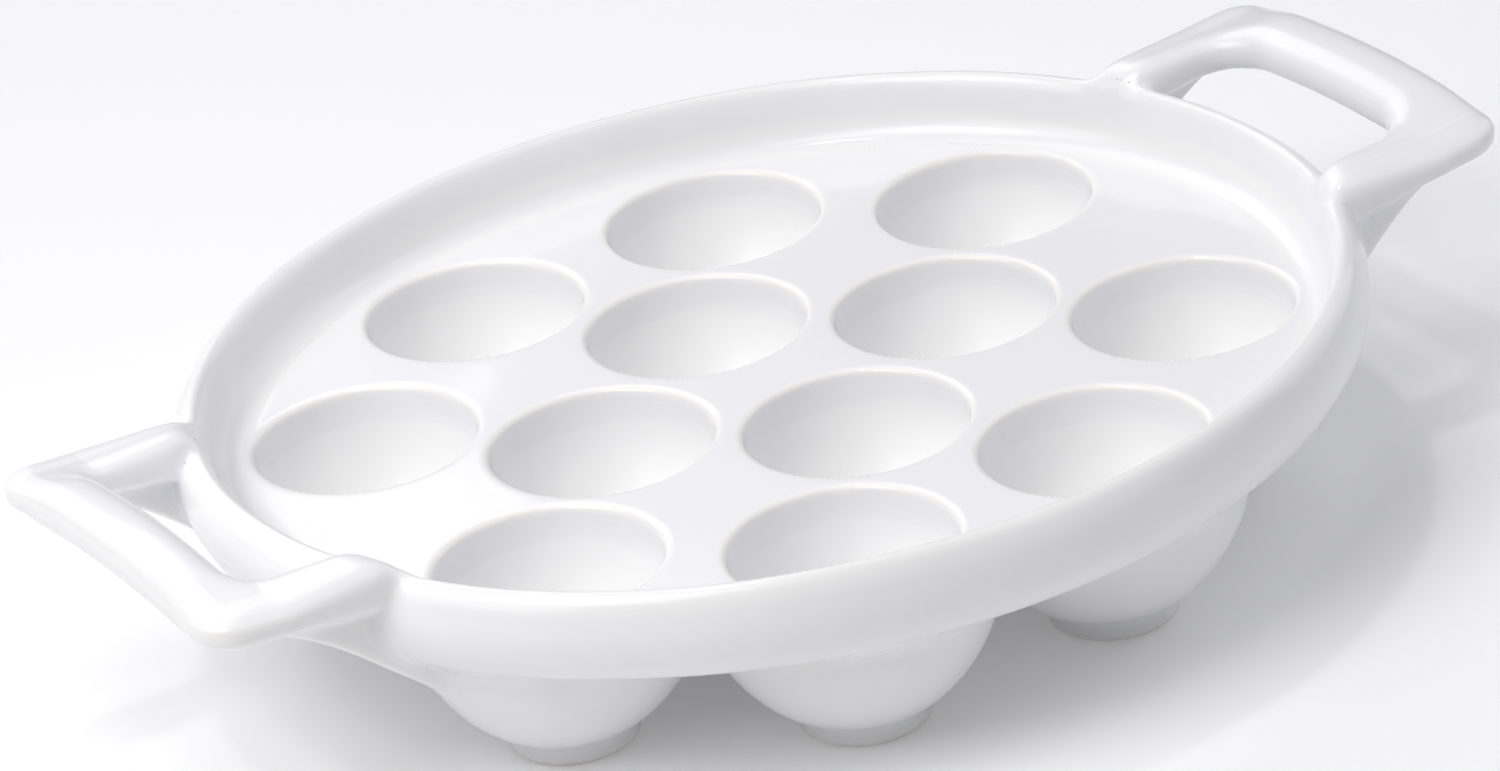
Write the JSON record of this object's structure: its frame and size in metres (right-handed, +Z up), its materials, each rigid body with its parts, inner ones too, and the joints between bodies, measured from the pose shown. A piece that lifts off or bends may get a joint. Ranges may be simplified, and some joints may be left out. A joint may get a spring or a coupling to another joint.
{
  "type": "egg holder tray",
  "caption": "Oval glazed porcelain tray with a raised rim, round egg cups on foot rings and a loop handle at each end.",
  "frame": {"origin": "on the plane that the foot rings stand on, under the middle of the oval deck", "axes": "+X along the long axis towards the right handle, +Y across the tray, +Z up"},
  "size_m": [0.3146, 0.2372, 0.0622],
  "materials": {
    "glaze": "smooth white glaze over white porcelain, between satin and gloss, faintly cool where it is thick and faintly warm where it thins over edges",
    "foot": null
  },
  "bodies": {
    "root": {"rim_wall": "glaze", "deck_plate": "glaze", "handle_left": "glaze", "handle_right": "glaze", "egg_cup_01": "glaze", "egg_cup_02": "glaze", "egg_cup_03": "glaze", "egg_cup_04": "glaze", "egg_cup_05": "glaze", "egg_cup_06": "glaze", "egg_cup_07": "glaze", "egg_cup_08": "glaze", "egg_cup_09": "glaze", "egg_cup_10": "glaze", "egg_cup_11": "glaze", "egg_cup_12": "glaze", "foot_ring_01": "foot", "foot_ring_02": "foot", "foot_ring_03": "foot", "foot_ring_04": "foot", "foot_ring_05": "foot", "foot_ring_06": "foot", "foot_ring_07": "foot", "foot_ring_08": "foot", "foot_ring_09": "foot", "foot_ring_10": "foot", "foot_ring_11": "foot", "foot_ring_12": "foot"}
  },
  "joints": []
}
